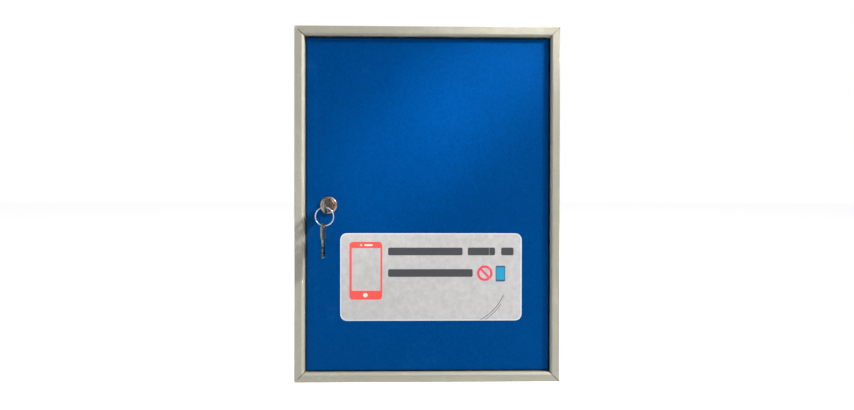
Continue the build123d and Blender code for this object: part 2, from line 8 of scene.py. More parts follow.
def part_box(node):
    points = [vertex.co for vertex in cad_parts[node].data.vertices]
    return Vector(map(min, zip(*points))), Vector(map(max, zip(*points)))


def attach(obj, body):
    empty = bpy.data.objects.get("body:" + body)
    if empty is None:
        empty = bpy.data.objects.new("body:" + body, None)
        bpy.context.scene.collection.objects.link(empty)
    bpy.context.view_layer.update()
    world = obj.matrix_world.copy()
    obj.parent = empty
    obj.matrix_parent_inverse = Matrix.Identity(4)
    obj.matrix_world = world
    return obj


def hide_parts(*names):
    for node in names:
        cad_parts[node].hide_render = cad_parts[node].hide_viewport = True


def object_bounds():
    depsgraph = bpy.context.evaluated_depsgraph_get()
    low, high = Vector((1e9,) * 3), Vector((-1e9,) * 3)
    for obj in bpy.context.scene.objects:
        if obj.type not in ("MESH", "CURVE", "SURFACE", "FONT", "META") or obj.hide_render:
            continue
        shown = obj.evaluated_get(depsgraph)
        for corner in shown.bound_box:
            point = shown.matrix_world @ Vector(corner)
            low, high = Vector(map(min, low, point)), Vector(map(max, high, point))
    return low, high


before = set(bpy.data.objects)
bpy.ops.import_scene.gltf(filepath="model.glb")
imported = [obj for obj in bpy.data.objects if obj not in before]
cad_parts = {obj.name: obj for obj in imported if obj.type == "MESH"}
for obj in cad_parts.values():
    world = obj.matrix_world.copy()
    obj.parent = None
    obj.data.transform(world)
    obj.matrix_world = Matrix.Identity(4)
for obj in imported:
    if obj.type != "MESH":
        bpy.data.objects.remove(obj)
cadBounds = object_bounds()
print("frame loaded:", len(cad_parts), "nodes")

# The box faces -Y and stands up along Z, in metres, with the middle of its back at the origin
mm = 0.001
scene = bpy.context.scene

cameraSetup = {
    "eye": (58.4, -819.8, 25.2),  # mm
    "yaw": 1.23,  # degrees to the right of straight ahead
    "pitch": -0.32,
    "roll": 0.12,
    "lens": 26.02,
    "shift": (-0.0767, -0.0224),
}

lightSetup = {
    # Places and sizes in metres, spread in degrees
    "lamps": {
        "keyLight": {"from": (1.30, -0.72, 1.22), "size": 0.16, "watts": 50.0, "colour": (1.0, 0.98, 0.94)},
        "topLight": {"from": (0.40, -0.43, 1.15), "size": 0.42, "watts": 4.6, "colour": (1.0, 0.98, 0.95)},
        "sideLight": {"from": (1.20, -0.42, 0.60), "size": 0.50, "watts": 2.0},
        "frontLight": {"from": (0.02, -0.95, 0.30), "size": 0.25, "watts": 0.3},
        # A narrow beam on the upper middle of the door
        "poolLight": {
            "from": (0.95, -0.60, 0.95),
            "aim": (0.045, -0.12, 0.125),
            "size": 0.06,
            "spread": 8.0,
            "watts": 0.085,
        },
        "lowLight": {"from": (-0.45, -0.75, -0.05), "size": 0.30, "watts": 0.4},
        "leftLight": {"from": (-2.0, 0.3, 0.6), "size": 1.2, "watts": 6.0, "colour": (0.97, 0.98, 1.0)},
        "backLight": {"from": (0.4, 2.0, 1.2), "size": 1.6, "watts": 14.0},
    },
    "ambient": 0.025,
}


def addCamera(setup):
    yaw, pitch, roll = (math.radians(setup[key]) for key in ("yaw", "pitch", "roll"))
    forward = Vector((math.sin(yaw) * math.cos(pitch), math.cos(yaw) * math.cos(pitch), math.sin(pitch)))
    level = Vector((math.cos(yaw), -math.sin(yaw), 0))
    upright = level.cross(forward)
    right = level * math.cos(roll) + upright * math.sin(roll)
    up = upright * math.cos(roll) - level * math.sin(roll)
    camera = bpy.data.objects.new("camera", bpy.data.cameras.new("camera"))
    turn = Matrix((right, up, -forward)).transposed().to_4x4()
    camera.matrix_world = Matrix.Translation(Vector(setup["eye"]) * mm) @ turn
    camera.data.lens = setup["lens"]
    camera.data.shift_x, camera.data.shift_y = setup["shift"]
    scene.collection.objects.link(camera)
    scene.camera = camera


def addLamp(name, setup):
    # A lamp looks at the origin unless it has an aim of its own
    lamp = bpy.data.objects.new(name, bpy.data.lights.new(name, "AREA"))
    lamp.data.size = setup["size"]
    lamp.data.energy = setup["watts"]
    lamp.data.color = setup.get("colour", (1, 1, 1))
    lamp.data.spread = math.radians(setup.get("spread", 180.0))
    place = Vector(setup["from"])
    away = place - Vector(setup.get("aim", (0, 0, 0)))
    lamp.matrix_world = Matrix.Translation(place) @ away.to_track_quat("Z", "Y").to_matrix().to_4x4()
    scene.collection.objects.link(lamp)


def put(tree, kind, links=None, **settings):
    # One node: settings are its own properties, links are its inputs, as sockets or plain values
    node = tree.nodes.new(kind)
    for key, value in settings.items():
        setattr(node, key, value)
    for key, value in (links or {}).items():
        if isinstance(value, bpy.types.NodeSocket):
            tree.links.new(value, node.inputs[key])
        else:
            node.inputs[key].default_value = value
    return node


def calc(tree, operation, *values):
    return put(tree, "ShaderNodeMath", dict(enumerate(values)), operation=operation).outputs[0]


def remap(tree, value, fromLow, fromHigh, toLow=0.0, toHigh=1.0):
    links = {"Value": value, "From Min": fromLow, "From Max": fromHigh, "To Min": toLow, "To Max": toHigh}
    return put(tree, "ShaderNodeMapRange", links).outputs[0]


def mixValues(tree, first, second, share):
    # That share of the first value, and the rest from the second
    rest = calc(tree, "MULTIPLY", second, 1.0 - share)
    return calc(tree, "MULTIPLY_ADD", first, share, rest)


def blendColour(tree, mask, first, second):
    # The first colour where the mask is 0, the second where it is 1
    pair = [(*colour, 1) if isinstance(colour, tuple) else colour for colour in (first, second)]
    links = {0: mask, 6: pair[0], 7: pair[1]}  # the Mix node's sockets for colours
    return put(tree, "ShaderNodeMix", links, data_type="RGBA").outputs[2]


def spots(tree, vector, scale, detail=2.0, roughness=0.5):
    links = {"Vector": vector, "Scale": scale, "Detail": detail, "Roughness": roughness}
    return put(tree, "ShaderNodeTexNoise", links).outputs[0]


def bump(tree, height, depth, under=None):
    # Depth in metres. What is under it is another bump that it lies on
    links = {"Height": height, "Distance": depth}
    if under is not None:
        links["Normal"] = under
    return put(tree, "ShaderNodeBump", links).outputs[0]


def newGroup(name, inputs, outputs):
    # Every socket is a number, apart from the input called Vector
    group = bpy.data.node_groups.new(name, "ShaderNodeTree")
    for label in inputs:
        kind = "NodeSocketVector" if label == "Vector" else "NodeSocketFloat"
        group.interface.new_socket(label, in_out="INPUT", socket_type=kind)
    for label in outputs:
        group.interface.new_socket(label, in_out="OUTPUT", socket_type="NodeSocketFloat")
    start = group.nodes.new("NodeGroupInput")
    end = group.nodes.new("NodeGroupOutput")
    return group, start.outputs, end.inputs


def useGroup(tree, group, **values):
    return put(tree, "ShaderNodeGroup", values, node_tree=group).outputs


pebbleGrain = {
    "finer": 3.7,  # how many times smaller the grit is than the pebbles
    "tone": (0.35, 0.95),  # heights that give the darkest and the lightest tone
}


def makePebbleGroup():
    # The fine orange-peel of stoved powder: pebbles with smaller grit on them
    group, given, result = newGroup("pebble", ("Vector", "Size", "Grit"), ("Height", "Tone"))
    scale = calc(group, "DIVIDE", 1.0, given["Size"])
    fineScale = calc(group, "MULTIPLY", scale, pebbleGrain["finer"])
    pebbles = spots(group, given["Vector"], scale, detail=1.0, roughness=0.4)
    grit = spots(group, given["Vector"], fineScale, roughness=0.6)
    raised = calc(group, "MULTIPLY_ADD", grit, given["Grit"], pebbles)
    group.links.new(raised, result["Height"])
    group.links.new(remap(group, raised, *pebbleGrain["tone"]), result["Tone"])
    return group


lineGrain = {
    "coarser": 0.17,  # scale of the blotches against that of the lines
    "blotches": 0.6,  # how strongly they break the lines up
    "tone": (0.45, 1.15),
}


def makeDrawnGroup():
    # Fine lines left by the die along a drawn or rolled length, broken up by soft blotches
    group, given, result = newGroup("drawnLines", ("Vector", "Size"), ("Height", "Tone"))
    scale = calc(group, "DIVIDE", 1.0, given["Size"])
    broadScale = calc(group, "MULTIPLY", scale, lineGrain["coarser"])
    fine = spots(group, given["Vector"], scale, detail=3.0, roughness=0.65)
    broad = spots(group, given["Vector"], broadScale)
    both = calc(group, "MULTIPLY_ADD", broad, lineGrain["blotches"], fine)
    group.links.new(both, result["Height"])
    group.links.new(remap(group, both, *lineGrain["tone"]), result["Tone"])
    return group


scuffMarks = {
    "finer": 9.0,  # how many times smaller the grain in a mark is
    "grain": 0.3,
    "rare": 0.78,  # level that a patch has to reach where the amount is 0
    "gain": 0.3,  # how far an amount of 1 lowers that level
    "edge": 0.12,
}


def makeScuffGroup():
    # Sparse handling marks and dust: a mask that is mostly empty
    marks = scuffMarks
    group, given, result = newGroup("scuffs", ("Vector", "Size", "Amount"), ("Mask",))
    scale = calc(group, "DIVIDE", 1.0, given["Size"])
    patches = spots(group, given["Vector"], scale, detail=4.0, roughness=0.7)
    grain = spots(group, given["Vector"], calc(group, "MULTIPLY", scale, marks["finer"]), roughness=0.7)
    level = calc(group, "SUBTRACT", marks["rare"], calc(group, "MULTIPLY", given["Amount"], marks["gain"]))
    links = {
        "Value": calc(group, "MULTIPLY_ADD", grain, marks["grain"], patches),
        "From Min": level,
        "From Max": calc(group, "ADD", level, marks["edge"]),
    }
    mask = put(group, "ShaderNodeMapRange", links, interpolation_type="SMOOTHSTEP")
    group.links.new(mask.outputs[0], result["Mask"])
    return group


inkEdge = 0.12  # mm over which a printed edge fades, each side of its outline


def makeBoxGroup():
    # A filled rounded rectangle on the XZ plane, 1 inside and 0 outside. Lengths in mm
    group, given, result = newGroup(
        "printedBox", ("X", "Z", "HalfWidth", "HalfHeight", "Radius"), ("Mask", "EdgeDistance")
    )
    reach = []
    for along, half in (("X", "HalfWidth"), ("Z", "HalfHeight")):
        inset = calc(group, "SUBTRACT", given[half], given["Radius"])
        reach.append(calc(group, "SUBTRACT", calc(group, "ABSOLUTE", given[along]), inset))
    outside = [calc(group, "MAXIMUM", past, 0.0) for past in reach]
    squares = calc(group, "ADD", *(calc(group, "MULTIPLY", side, side) for side in outside))
    within = calc(group, "MINIMUM", calc(group, "MAXIMUM", *reach), 0.0)
    distance = calc(group, "ADD", calc(group, "SQRT", squares), within)
    distance = calc(group, "SUBTRACT", distance, given["Radius"])
    group.links.new(remap(group, distance, inkEdge, -inkEdge), result["Mask"])
    group.links.new(distance, result["EdgeDistance"])
    return group


def makeRingGroup():
    # A printed ring on the XZ plane. Lengths in mm
    group, given, result = newGroup("printedRing", ("X", "Z", "Radius", "HalfLine"), ("Mask",))
    squares = calc(group, "ADD", *(calc(group, "MULTIPLY", given[axis], given[axis]) for axis in "XZ"))
    off = calc(group, "ABSOLUTE", calc(group, "SUBTRACT", calc(group, "SQRT", squares), given["Radius"]))
    distance = calc(group, "SUBTRACT", off, given["HalfLine"])
    group.links.new(remap(group, distance, inkEdge, -inkEdge), result["Mask"])
    return group


pebble = makePebbleGroup()
drawnLines = makeDrawnGroup()
scuffs = makeScuffGroup()
printedBox = makeBoxGroup()
printedRing = makeRingGroup()
print("node groups made")


def newMaterial(name, **plain):
    # What is the same all over a finish goes straight onto the shader's own sockets
    material = bpy.data.materials.new(name)
    material.use_nodes = True
    tree = material.node_tree
    shader = tree.nodes["Principled BSDF"]
    for key, value in plain.items():
        socket = shader.inputs[key.replace("_", " ")]
        socket.default_value = (*value, 1) if isinstance(value, tuple) else value
    place = tree.nodes.new("ShaderNodeTexCoord").outputs["Object"]
    return material, tree, shader, place


def finishShader(tree, shader, colour, roughness, normal):
    for label, value in (("Base Color", colour), ("Roughness", roughness), ("Normal", normal)):
        tree.links.new(value, shader.inputs[label])


aluminium = {
    "light": (0.44, 0.427, 0.352),
    "dark": (0.295, 0.285, 0.235),
    "metallic": 0.10,  # the anodised skin is mostly matt
    "roughness": (0.36, 0.48),
    "lineSize": 0.0011,
    "lineDepth": 0.00003,
    "stretch": 0.035,  # how far the lines are drawn out along the length
    "speckleSize": 0.0012,
    "speckleGrit": 0.5,
    "speckleShare": 0.5,  # of the tone, the rest comes from the lines
    "speckleHeight": 0.6,
    "scuff": (0.54, 0.53, 0.46),
    "scuffSize": 0.03,
    "scuffAmount": 0.35,
    "scuffMix": 0.2,
    "mitreShade": (0.075, 0.07, 0.06),  # painted shade along the mitre seams
    "mitreShadeWidth": 0.0008,
    "mitreShadeCore": 0.3,  # share of the width that is fully dark
}


def mitreMask(tree, place, width, core):
    # 1 where the two cut ends of the frame meet, along the diagonal through each outer corner, for the
    # painted shade in the seams
    corner = cadBounds[1]
    axes = put(tree, "ShaderNodeSeparateXYZ", {"Vector": place}).outputs
    side = calc(tree, "SUBTRACT", calc(tree, "ABSOLUTE", axes["X"]), corner.x)
    rise = calc(tree, "SUBTRACT", calc(tree, "ABSOLUTE", axes["Z"]), corner.z)
    away = calc(tree, "ABSOLUTE", calc(tree, "SUBTRACT", side, rise))
    return remap(tree, away, width, width * core)


def makeAluminium(name, along):
    look = aluminium
    material, tree, shader, place = newMaterial(name, Metallic=look["metallic"])
    squeeze = tuple(look["stretch"] if axis == along else 1.0 for axis in "xyz")
    drawn = put(tree, "ShaderNodeMapping", {"Vector": place, "Scale": squeeze}).outputs[0]
    lines = useGroup(tree, drawnLines, Vector=drawn, Size=look["lineSize"])
    speckle = useGroup(tree, pebble, Vector=place, Size=look["speckleSize"], Grit=look["speckleGrit"])
    marks = useGroup(tree, scuffs, Vector=place, Size=look["scuffSize"], Amount=look["scuffAmount"])
    tone = mixValues(tree, speckle["Tone"], lines["Tone"], look["speckleShare"])
    colour = blendColour(tree, tone, look["dark"], look["light"])
    scuffed = calc(tree, "MULTIPLY", marks["Mask"], look["scuffMix"])
    colour = blendColour(tree, scuffed, colour, look["scuff"])
    # Painted shade along the mitre seams
    mitreShade = mitreMask(tree, place, look["mitreShadeWidth"], look["mitreShadeCore"])
    colour = blendColour(tree, mitreShade, colour, look["mitreShade"])
    height = calc(tree, "MULTIPLY_ADD", speckle["Height"], look["speckleHeight"], lines["Height"])
    rough = remap(tree, tone, 0.0, 1.0, *look["roughness"])
    finishShader(tree, shader, colour, rough, bump(tree, height, look["lineDepth"]))
    return material


doorEnamel = {
    "base": (0.0, 0.060, 0.27),
    "deep": (0.0, 0.026, 0.12),
    "dust": (0.02, 0.12, 0.36),
    "roughness": (0.34, 0.44),
    "pebbleSize": 0.0012,
    "pebbleDepth": 0.00014,
    "waveDepth": 0.0009,  # the slow waves of thin sheet
    "specular": 0.3,
    "specularTint": (0.0, 0.5, 1.0),
}

rackEnamel = {
    "base": (0.60, 0.61, 0.61),
    "deep": (0.52, 0.53, 0.53),
    "dust": (0.66, 0.65, 0.62),
    "roughness": (0.42, 0.58),
    "pebbleSize": 0.0010,
    "pebbleDepth": 0.00005,
    "waveDepth": 0.0003,
    "specular": 0.4,
    "specularTint": (1.0, 1.0, 1.0),
}

enamelPattern = {
    "grit": 0.6,
    "cloudScale": 14.0,
    "cloudShare": 0.3,
    "dustSize": 0.05,
    "dustAmount": 0.1,
    "dustMix": 0.12,
    "waveScale": 7.0,
}


def makeEnamel(name, look):
    plan = enamelPattern
    material, tree, shader, place = newMaterial(
        name, Specular_IOR_Level=look["specular"], Specular_Tint=look["specularTint"]
    )
    grain = useGroup(tree, pebble, Vector=place, Size=look["pebbleSize"], Grit=plan["grit"])
    clouds = spots(tree, place, plan["cloudScale"], detail=3.0, roughness=0.55)
    dust = useGroup(tree, scuffs, Vector=place, Size=plan["dustSize"], Amount=plan["dustAmount"])
    tone = mixValues(tree, clouds, grain["Tone"], plan["cloudShare"])
    colour = blendColour(tree, tone, look["deep"], look["base"])
    colour = blendColour(tree, calc(tree, "MULTIPLY", dust["Mask"], plan["dustMix"]), colour, look["dust"])
    rough = remap(tree, grain["Tone"], 0.0, 1.0, *look["roughness"])
    waves = bump(tree, spots(tree, place, plan["waveScale"], detail=1.0, roughness=0.4), look["waveDepth"])
    finishShader(tree, shader, colour, rough, bump(tree, grain["Height"], look["pebbleDepth"], waves))
    return material


backSteel = {
    "spangles": ((0.50, 0.51, 0.52), (0.62, 0.63, 0.64), (0.56, 0.57, 0.59)),
    "spangleSize": 0.009,
    "wanderScale": 160.0,  # the unevenness of the spangles' edges
    "wander": 0.006,
    "gritScale": 900.0,
    "gritShare": 0.3,
    "roughness": (0.34, 0.52),
    "depth": 0.00002,
}


def makeSpangledSteel(name, look):
    material, tree, shader, place = newMaterial(name, Metallic=1.0)
    uneven = put(tree, "ShaderNodeTexNoise", {"Vector": place, "Scale": look["wanderScale"]})
    links = {0: uneven.outputs["Color"], 1: (look["wander"],) * 3, 2: place}
    shifted = put(tree, "ShaderNodeVectorMath", links, operation="MULTIPLY_ADD").outputs[0]
    cells = put(tree, "ShaderNodeTexVoronoi", {"Vector": shifted, "Scale": 1 / look["spangleSize"]})
    pick = put(tree, "ShaderNodeSeparateColor", {"Color": cells.outputs["Color"]}).outputs
    first, second, third = look["spangles"]
    colour = blendColour(tree, pick[0], first, second)
    colour = blendColour(tree, pick[1], colour, third)
    grit = spots(tree, place, look["gritScale"], roughness=0.6)
    rough = remap(tree, mixValues(tree, grit, pick[2], look["gritShare"]), 0.0, 1.0, *look["roughness"])
    finishShader(tree, shader, colour, rough, bump(tree, calc(tree, "ADD", grit, pick[0]), look["depth"]))
    return material


metalLooks = {
    # light, dark, the span of roughness, and how marked by handling it is
    # The lock's chrome gets brown, dark tones that are painted reflection of the surroundings; the plug's
    # brass tone is partly darkened with the same painted reflection
    "lockChromePaintedReflection": ((0.40, 0.31, 0.26), (0.20, 0.14, 0.11), (0.12, 0.26), 0.6),
    "plugBrass": ((0.50, 0.35, 0.26), (0.22, 0.13, 0.09), (0.20, 0.38), 0.7),
    "keyNickel": ((0.30, 0.30, 0.25), (0.14, 0.15, 0.12), (0.22, 0.42), 0.8),
    "ringSteel": ((0.52, 0.56, 0.64), (0.22, 0.25, 0.32), (0.14, 0.30), 0.6),
    "zincSteel": ((0.62, 0.63, 0.66), (0.42, 0.42, 0.44), (0.30, 0.50), 0.5),
    "millAluminium": ((0.70, 0.70, 0.70), (0.58, 0.58, 0.58), (0.32, 0.50), 0.4),
}

platingPattern = {"size": 0.0008, "depth": 0.000008, "markSize": 0.004, "markDark": 0.5}


def makeSmallMetal(name, look):
    # Turned, stamped and plated small parts: a cloudy plating with handling marks
    light, dark, roughness, amount = look
    plan = platingPattern
    material, tree, shader, place = newMaterial(name, Metallic=1.0)
    plating = useGroup(tree, drawnLines, Vector=place, Size=plan["size"])
    marks = useGroup(tree, scuffs, Vector=place, Size=plan["markSize"], Amount=amount)
    tone = calc(tree, "SUBTRACT", plating["Tone"], calc(tree, "MULTIPLY", marks["Mask"], plan["markDark"]))
    rough = remap(tree, tone, 1.0, 0.0, *roughness)
    normal = bump(tree, plating["Height"], plan["depth"])
    finishShader(tree, shader, blendColour(tree, tone, dark, light), rough, normal)
    return material


mouldedLooks = {
    # light, dark, the span of roughness, and the size of the grain
    "nylon": ((0.05, 0.05, 0.052), (0.03, 0.03, 0.032), (0.35, 0.50), 0.0006),
    "padRubber": ((0.035, 0.035, 0.037), (0.018, 0.018, 0.02), (0.55, 0.75), 0.0004),
}

mouldedPattern = {"grit": 0.5, "depth": 0.00002}


def makeMoulded(name, look):
    light, dark, roughness, size = look
    material, tree, shader, place = newMaterial(name)
    grain = useGroup(tree, pebble, Vector=place, Size=size, Grit=mouldedPattern["grit"])
    rough = remap(tree, grain["Tone"], 0.0, 1.0, *roughness)
    normal = bump(tree, grain["Height"], mouldedPattern["depth"])
    finishShader(tree, shader, blendColour(tree, grain["Tone"], dark, light), rough, normal)
    return material


# The printed sheet: everything is placed from its own centre, in mm, right and up
sheetPrint = {
    "paper": (0.63, 0.63, 0.64),
    # The darker paper tone is paper mottle, partly painted shade of the crumples
    "paperShade": (0.49, 0.49, 0.505),
    # Pale tint of the painted highlight along the sheet's edge and along the fold
    "rim": (0.78, 0.91, 1.0),
    "edgeHighlightFades": (-1.5, -0.4),  # mm from the sheet's edge, where the painted edge highlight fades in
    "white": (0.94, 0.92, 0.88),
    "red": (1.0, 0.105, 0.085),
    "pink": (0.90, 0.07, 0.12),
    "ink": (0.050, 0.052, 0.062),
    "cyan": (0.01, 0.36, 0.62),
    "cyanEdge": (0.03, 0.10, 0.20),
    "boxes": {
        # centre x, centre z, half width, half height, corner radius, colour
        "phoneBody": (-74.3, 7.2, 18.6, 33.0, 4.2, "red"),
        "phoneScreen": (-74.0, 8.6, 16.3, 24.3, 0.6, "paper"),
        "phoneSpeaker": (-71.2, 36.3, 4.7, 1.0, 0.9, "white"),
        "phoneLens": (-79.7, 36.3, 1.1, 1.1, 1.0, "white"),
        "phoneButton": (-74.8, -20.7, 2.5, 2.5, 2.4, "white"),
        "barOne": (-6.7, 29.1, 42.4, 4.4, 1.8, "ink"),
        "barTwo": (57.2, 29.1, 15.6, 4.4, 1.8, "ink"),
        "barThree": (86.9, 29.1, 7.1, 4.4, 1.8, "ink"),
        "barFour": (-0.9, 4.5, 48.2, 4.4, 1.8, "ink"),
        "smallPhone": (79.0, 3.7, 5.5, 9.0, 1.3, "cyanEdge"),
        "smallScreen": (79.0, 3.8, 4.6, 7.0, 0.5, "cyan"),
    },
    "ring": (61.1, 4.2, 7.5, 1.4),  # centre x, centre z, radius, half line
    "slash": (7.2, 1.25, 0.1),  # half length, half line, corner radius
    # centre x, centre z, radius, half line, then the stretch of it that shows: from x to x
    "creases": ((29.6, 2.4, 57.8, 0.5, 55.0, 82.6), (21.7, 9.3, 70.6, 0.4, 60.8, 79.8)),
    "crease": (0.10, 0.095, 0.095),
    "creaseMix": 0.8,
    "foldX": 66.3,
    "foldHighlightHalf": 0.8,  # half the width of the painted highlight along the fold
    "foldHighlightMix": 0.2,
    "mottleSize": 0.0019,
    "mottleGrit": 0.7,
    "cloudScale": 170.0,
    "cloudSpan": (0.33, 0.67),
    "cloudShare": 0.6,
    "crinkleScale": 130.0,
    "crinkleMottle": 0.25,
    "crinkleDepth": 0.00016,
    "roughness": (0.42, 0.6),
    "specular": 0.35,
}


def makeSheetPrint(name, centre, halfSize, corner):
    look = sheetPrint
    material, tree, shader, place = newMaterial(name, Specular_IOR_Level=look["specular"])
    axes = put(tree, "ShaderNodeSeparateXYZ", {"Vector": place}).outputs
    across = calc(tree, "MULTIPLY", calc(tree, "SUBTRACT", axes["X"], centre.x), 1 / mm)
    upward = calc(tree, "MULTIPLY", calc(tree, "SUBTRACT", axes["Z"], centre.z), 1 / mm)

    def fromPoint(x, z):
        return {"X": calc(tree, "SUBTRACT", across, x), "Z": calc(tree, "SUBTRACT", upward, z)}

    def boxMask(x, z, halfWidth, halfHeight, radius):
        sizes = {"HalfWidth": halfWidth, "HalfHeight": halfHeight, "Radius": radius}
        return useGroup(tree, printedBox, **fromPoint(x, z), **sizes)

    # Paper mottle, partly painted shade of the crumples
    mottle = useGroup(tree, pebble, Vector=place, Size=look["mottleSize"], Grit=look["mottleGrit"])
    patches = spots(tree, place, look["cloudScale"], detail=4.0, roughness=0.6)
    clouds = remap(tree, patches, *look["cloudSpan"])
    tone = mixValues(tree, clouds, mottle["Tone"], look["cloudShare"])
    paper = blendColour(tree, tone, look["paperShade"], look["paper"])
    colour = paper
    for x, z, halfWidth, halfHeight, radius, ink in look["boxes"].values():
        mask = boxMask(x, z, halfWidth, halfHeight, radius)["Mask"]
        colour = blendColour(tree, mask, colour, paper if ink == "paper" else look[ink])

    x, z, radius, halfLine = look["ring"]
    spot = fromPoint(x, z)
    ring = useGroup(tree, printedRing, **spot, Radius=radius, HalfLine=halfLine)
    colour = blendColour(tree, ring["Mask"], colour, look["pink"])
    halfLength, halfLine, radius = look["slash"]
    diagonal = math.sqrt(0.5)
    down = calc(tree, "MULTIPLY", calc(tree, "SUBTRACT", spot["X"], spot["Z"]), diagonal)
    side = calc(tree, "MULTIPLY", calc(tree, "ADD", spot["X"], spot["Z"]), diagonal)
    sizes = {"HalfWidth": halfLength, "HalfHeight": halfLine, "Radius": radius}
    slash = useGroup(tree, printedBox, X=down, Z=side, **sizes)
    colour = blendColour(tree, slash["Mask"], colour, look["pink"])

    creased = 0.0
    for x, z, radius, halfLine, first, last in look["creases"]:
        spot = fromPoint(x, z)
        ring = useGroup(tree, printedRing, **spot, Radius=radius, HalfLine=halfLine)
        between = calc(tree, "MULTIPLY", calc(tree, "GREATER_THAN", across, first), ring["Mask"])
        between = calc(tree, "MULTIPLY", calc(tree, "LESS_THAN", across, last), between)
        lower = calc(tree, "MULTIPLY", calc(tree, "LESS_THAN", spot["Z"], 0.0), between)
        creased = calc(tree, "MAXIMUM", lower, creased)
    colour = blendColour(tree, calc(tree, "MULTIPLY", creased, look["creaseMix"]), colour, look["crease"])

    # Painted highlight along the sheet's edge, then along the fold
    border = boxMask(0.0, 0.0, *halfSize, corner)["EdgeDistance"]
    colour = blendColour(tree, remap(tree, border, *look["edgeHighlightFades"]), colour, look["rim"])
    toFold = calc(tree, "ABSOLUTE", calc(tree, "SUBTRACT", across, look["foldX"]))
    fold = remap(tree, toFold, look["foldHighlightHalf"], 0.0, 0.0, look["foldHighlightMix"])
    colour = blendColour(tree, fold, colour, look["rim"])
    rough = remap(tree, tone, 0.0, 1.0, *look["roughness"])
    crinkles = spots(tree, place, look["crinkleScale"], detail=3.0, roughness=0.6)
    height = calc(tree, "MULTIPLY_ADD", mottle["Height"], look["crinkleMottle"], crinkles)
    finishShader(tree, shader, colour, rough, bump(tree, height, look["crinkleDepth"]))
    return material


weldGap = 1e-6  # metres: points nearer than this are one


def addPiece(name, bm, body, slotName, material, *nodes, sharpAngle=35):
    # Turns a bmesh that stands where the object does, in metres, into a piece of it
    bmesh.ops.remove_doubles(bm, verts=bm.verts, dist=weldGap)
    bmesh.ops.recalc_face_normals(bm, faces=bm.faces)
    for face in bm.faces:
        face.smooth = True
    for edge in bm.edges:
        edge.smooth = len(edge.link_faces) == 2 and edge.calc_face_angle() < math.radians(sharpAngle)
    mesh = bpy.data.meshes.new(name)
    bm.to_mesh(mesh)
    bm.free()
    mesh.materials.append(material)
    piece = bpy.data.objects.new(name, mesh)
    scene.collection.objects.link(piece)
    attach(piece, body)
    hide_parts(*nodes)


def solidFrom(bm, name):
    mesh = bpy.data.meshes.new(name)
    bm.to_mesh(mesh)
    bm.free()
    solid = bpy.data.objects.new(name, mesh)
    scene.collection.objects.link(solid)
    return solid


def cut(bm, cutter):
    # Takes the closed cutter out of bm and gives what is left as a new bmesh
    body = solidFrom(bm, "blank")
    tool = solidFrom(cutter, "cutter")
    boolean = body.modifiers.new("cut", "BOOLEAN")
    boolean.operation = "DIFFERENCE"
    boolean.object = tool
    boolean.solver = "EXACT"
    evaluated = body.evaluated_get(bpy.context.evaluated_depsgraph_get())
    result = bmesh.new()
    result.from_mesh(evaluated.to_mesh())
    for used in (body, tool):
        bpy.data.objects.remove(used)
    return result


def lathe(profile, segments):
    # profile: (radius, distance along +Y) in mm, closed, turned about the Y axis
    bm = bmesh.new()
    rows = []
    for step in range(segments):
        angle = 2 * math.pi * step / segments
        x, z = math.cos(angle) * mm, math.sin(angle) * mm
        rows.append([bm.verts.new((radius * x, along * mm, radius * z)) for radius, along in profile])
    count = len(profile)
    for row, following in zip(rows, rows[1:] + rows[:1]):
        for i in range(count):
            j = (i + 1) % count
            bm.faces.new((row[i], row[j], following[j], following[i]))
    bmesh.ops.remove_doubles(bm, verts=bm.verts, dist=weldGap / 10)
    bmesh.ops.dissolve_degenerate(bm, edges=bm.edges, dist=weldGap / 10)
    bmesh.ops.recalc_face_normals(bm, faces=bm.faces)
    return bm


def block(size, centre):
    bm = bmesh.new()
    grow = Matrix.Diagonal((*(Vector(size) * mm), 1))
    bmesh.ops.create_cube(bm, size=1, matrix=Matrix.Translation(Vector(centre) * mm) @ grow)
    return bm


def roundEdges(bm, width, sharper=40):
    # Rounds the edges where the faces turn by more than that many degrees
    limit = math.radians(sharper)
    edges = [e for e in bm.edges if len(e.link_faces) == 2 and e.calc_face_angle() > limit]
    bmesh.ops.bevel(bm, geom=edges, offset=width * mm, segments=2, affect="EDGES", profile=0.5)
    return bm


def arcPoints(centre, radius, first, last, steps=8):
    # From the first angle to the last, in degrees
    points = []
    for step in range(steps + 1):
        angle = math.radians(first + (last - first) * step / steps)
        points.append((centre[0] + radius * math.cos(angle), centre[1] + radius * math.sin(angle)))
    return points


sheetShape = {
    "cell": 3.0,  # mm between points
    "corner": 7.5,
    "thickness": 0.2,
    "bulge": 0.352,  # height of an air bubble where the noise is 1
    "bubbleFrom": 0.05,  # level of the noise at which a bubble starts
    "bubbleWidth": 22.0,
    "bubbleSlice": 7.0,  # where the noise is cut through, to choose the bubbles
    "stuckRim": 6.0,  # mm over which the bubbles die out towards the edge
    "foldHeight": 0.12,
    "foldWidth": 1.2,
}


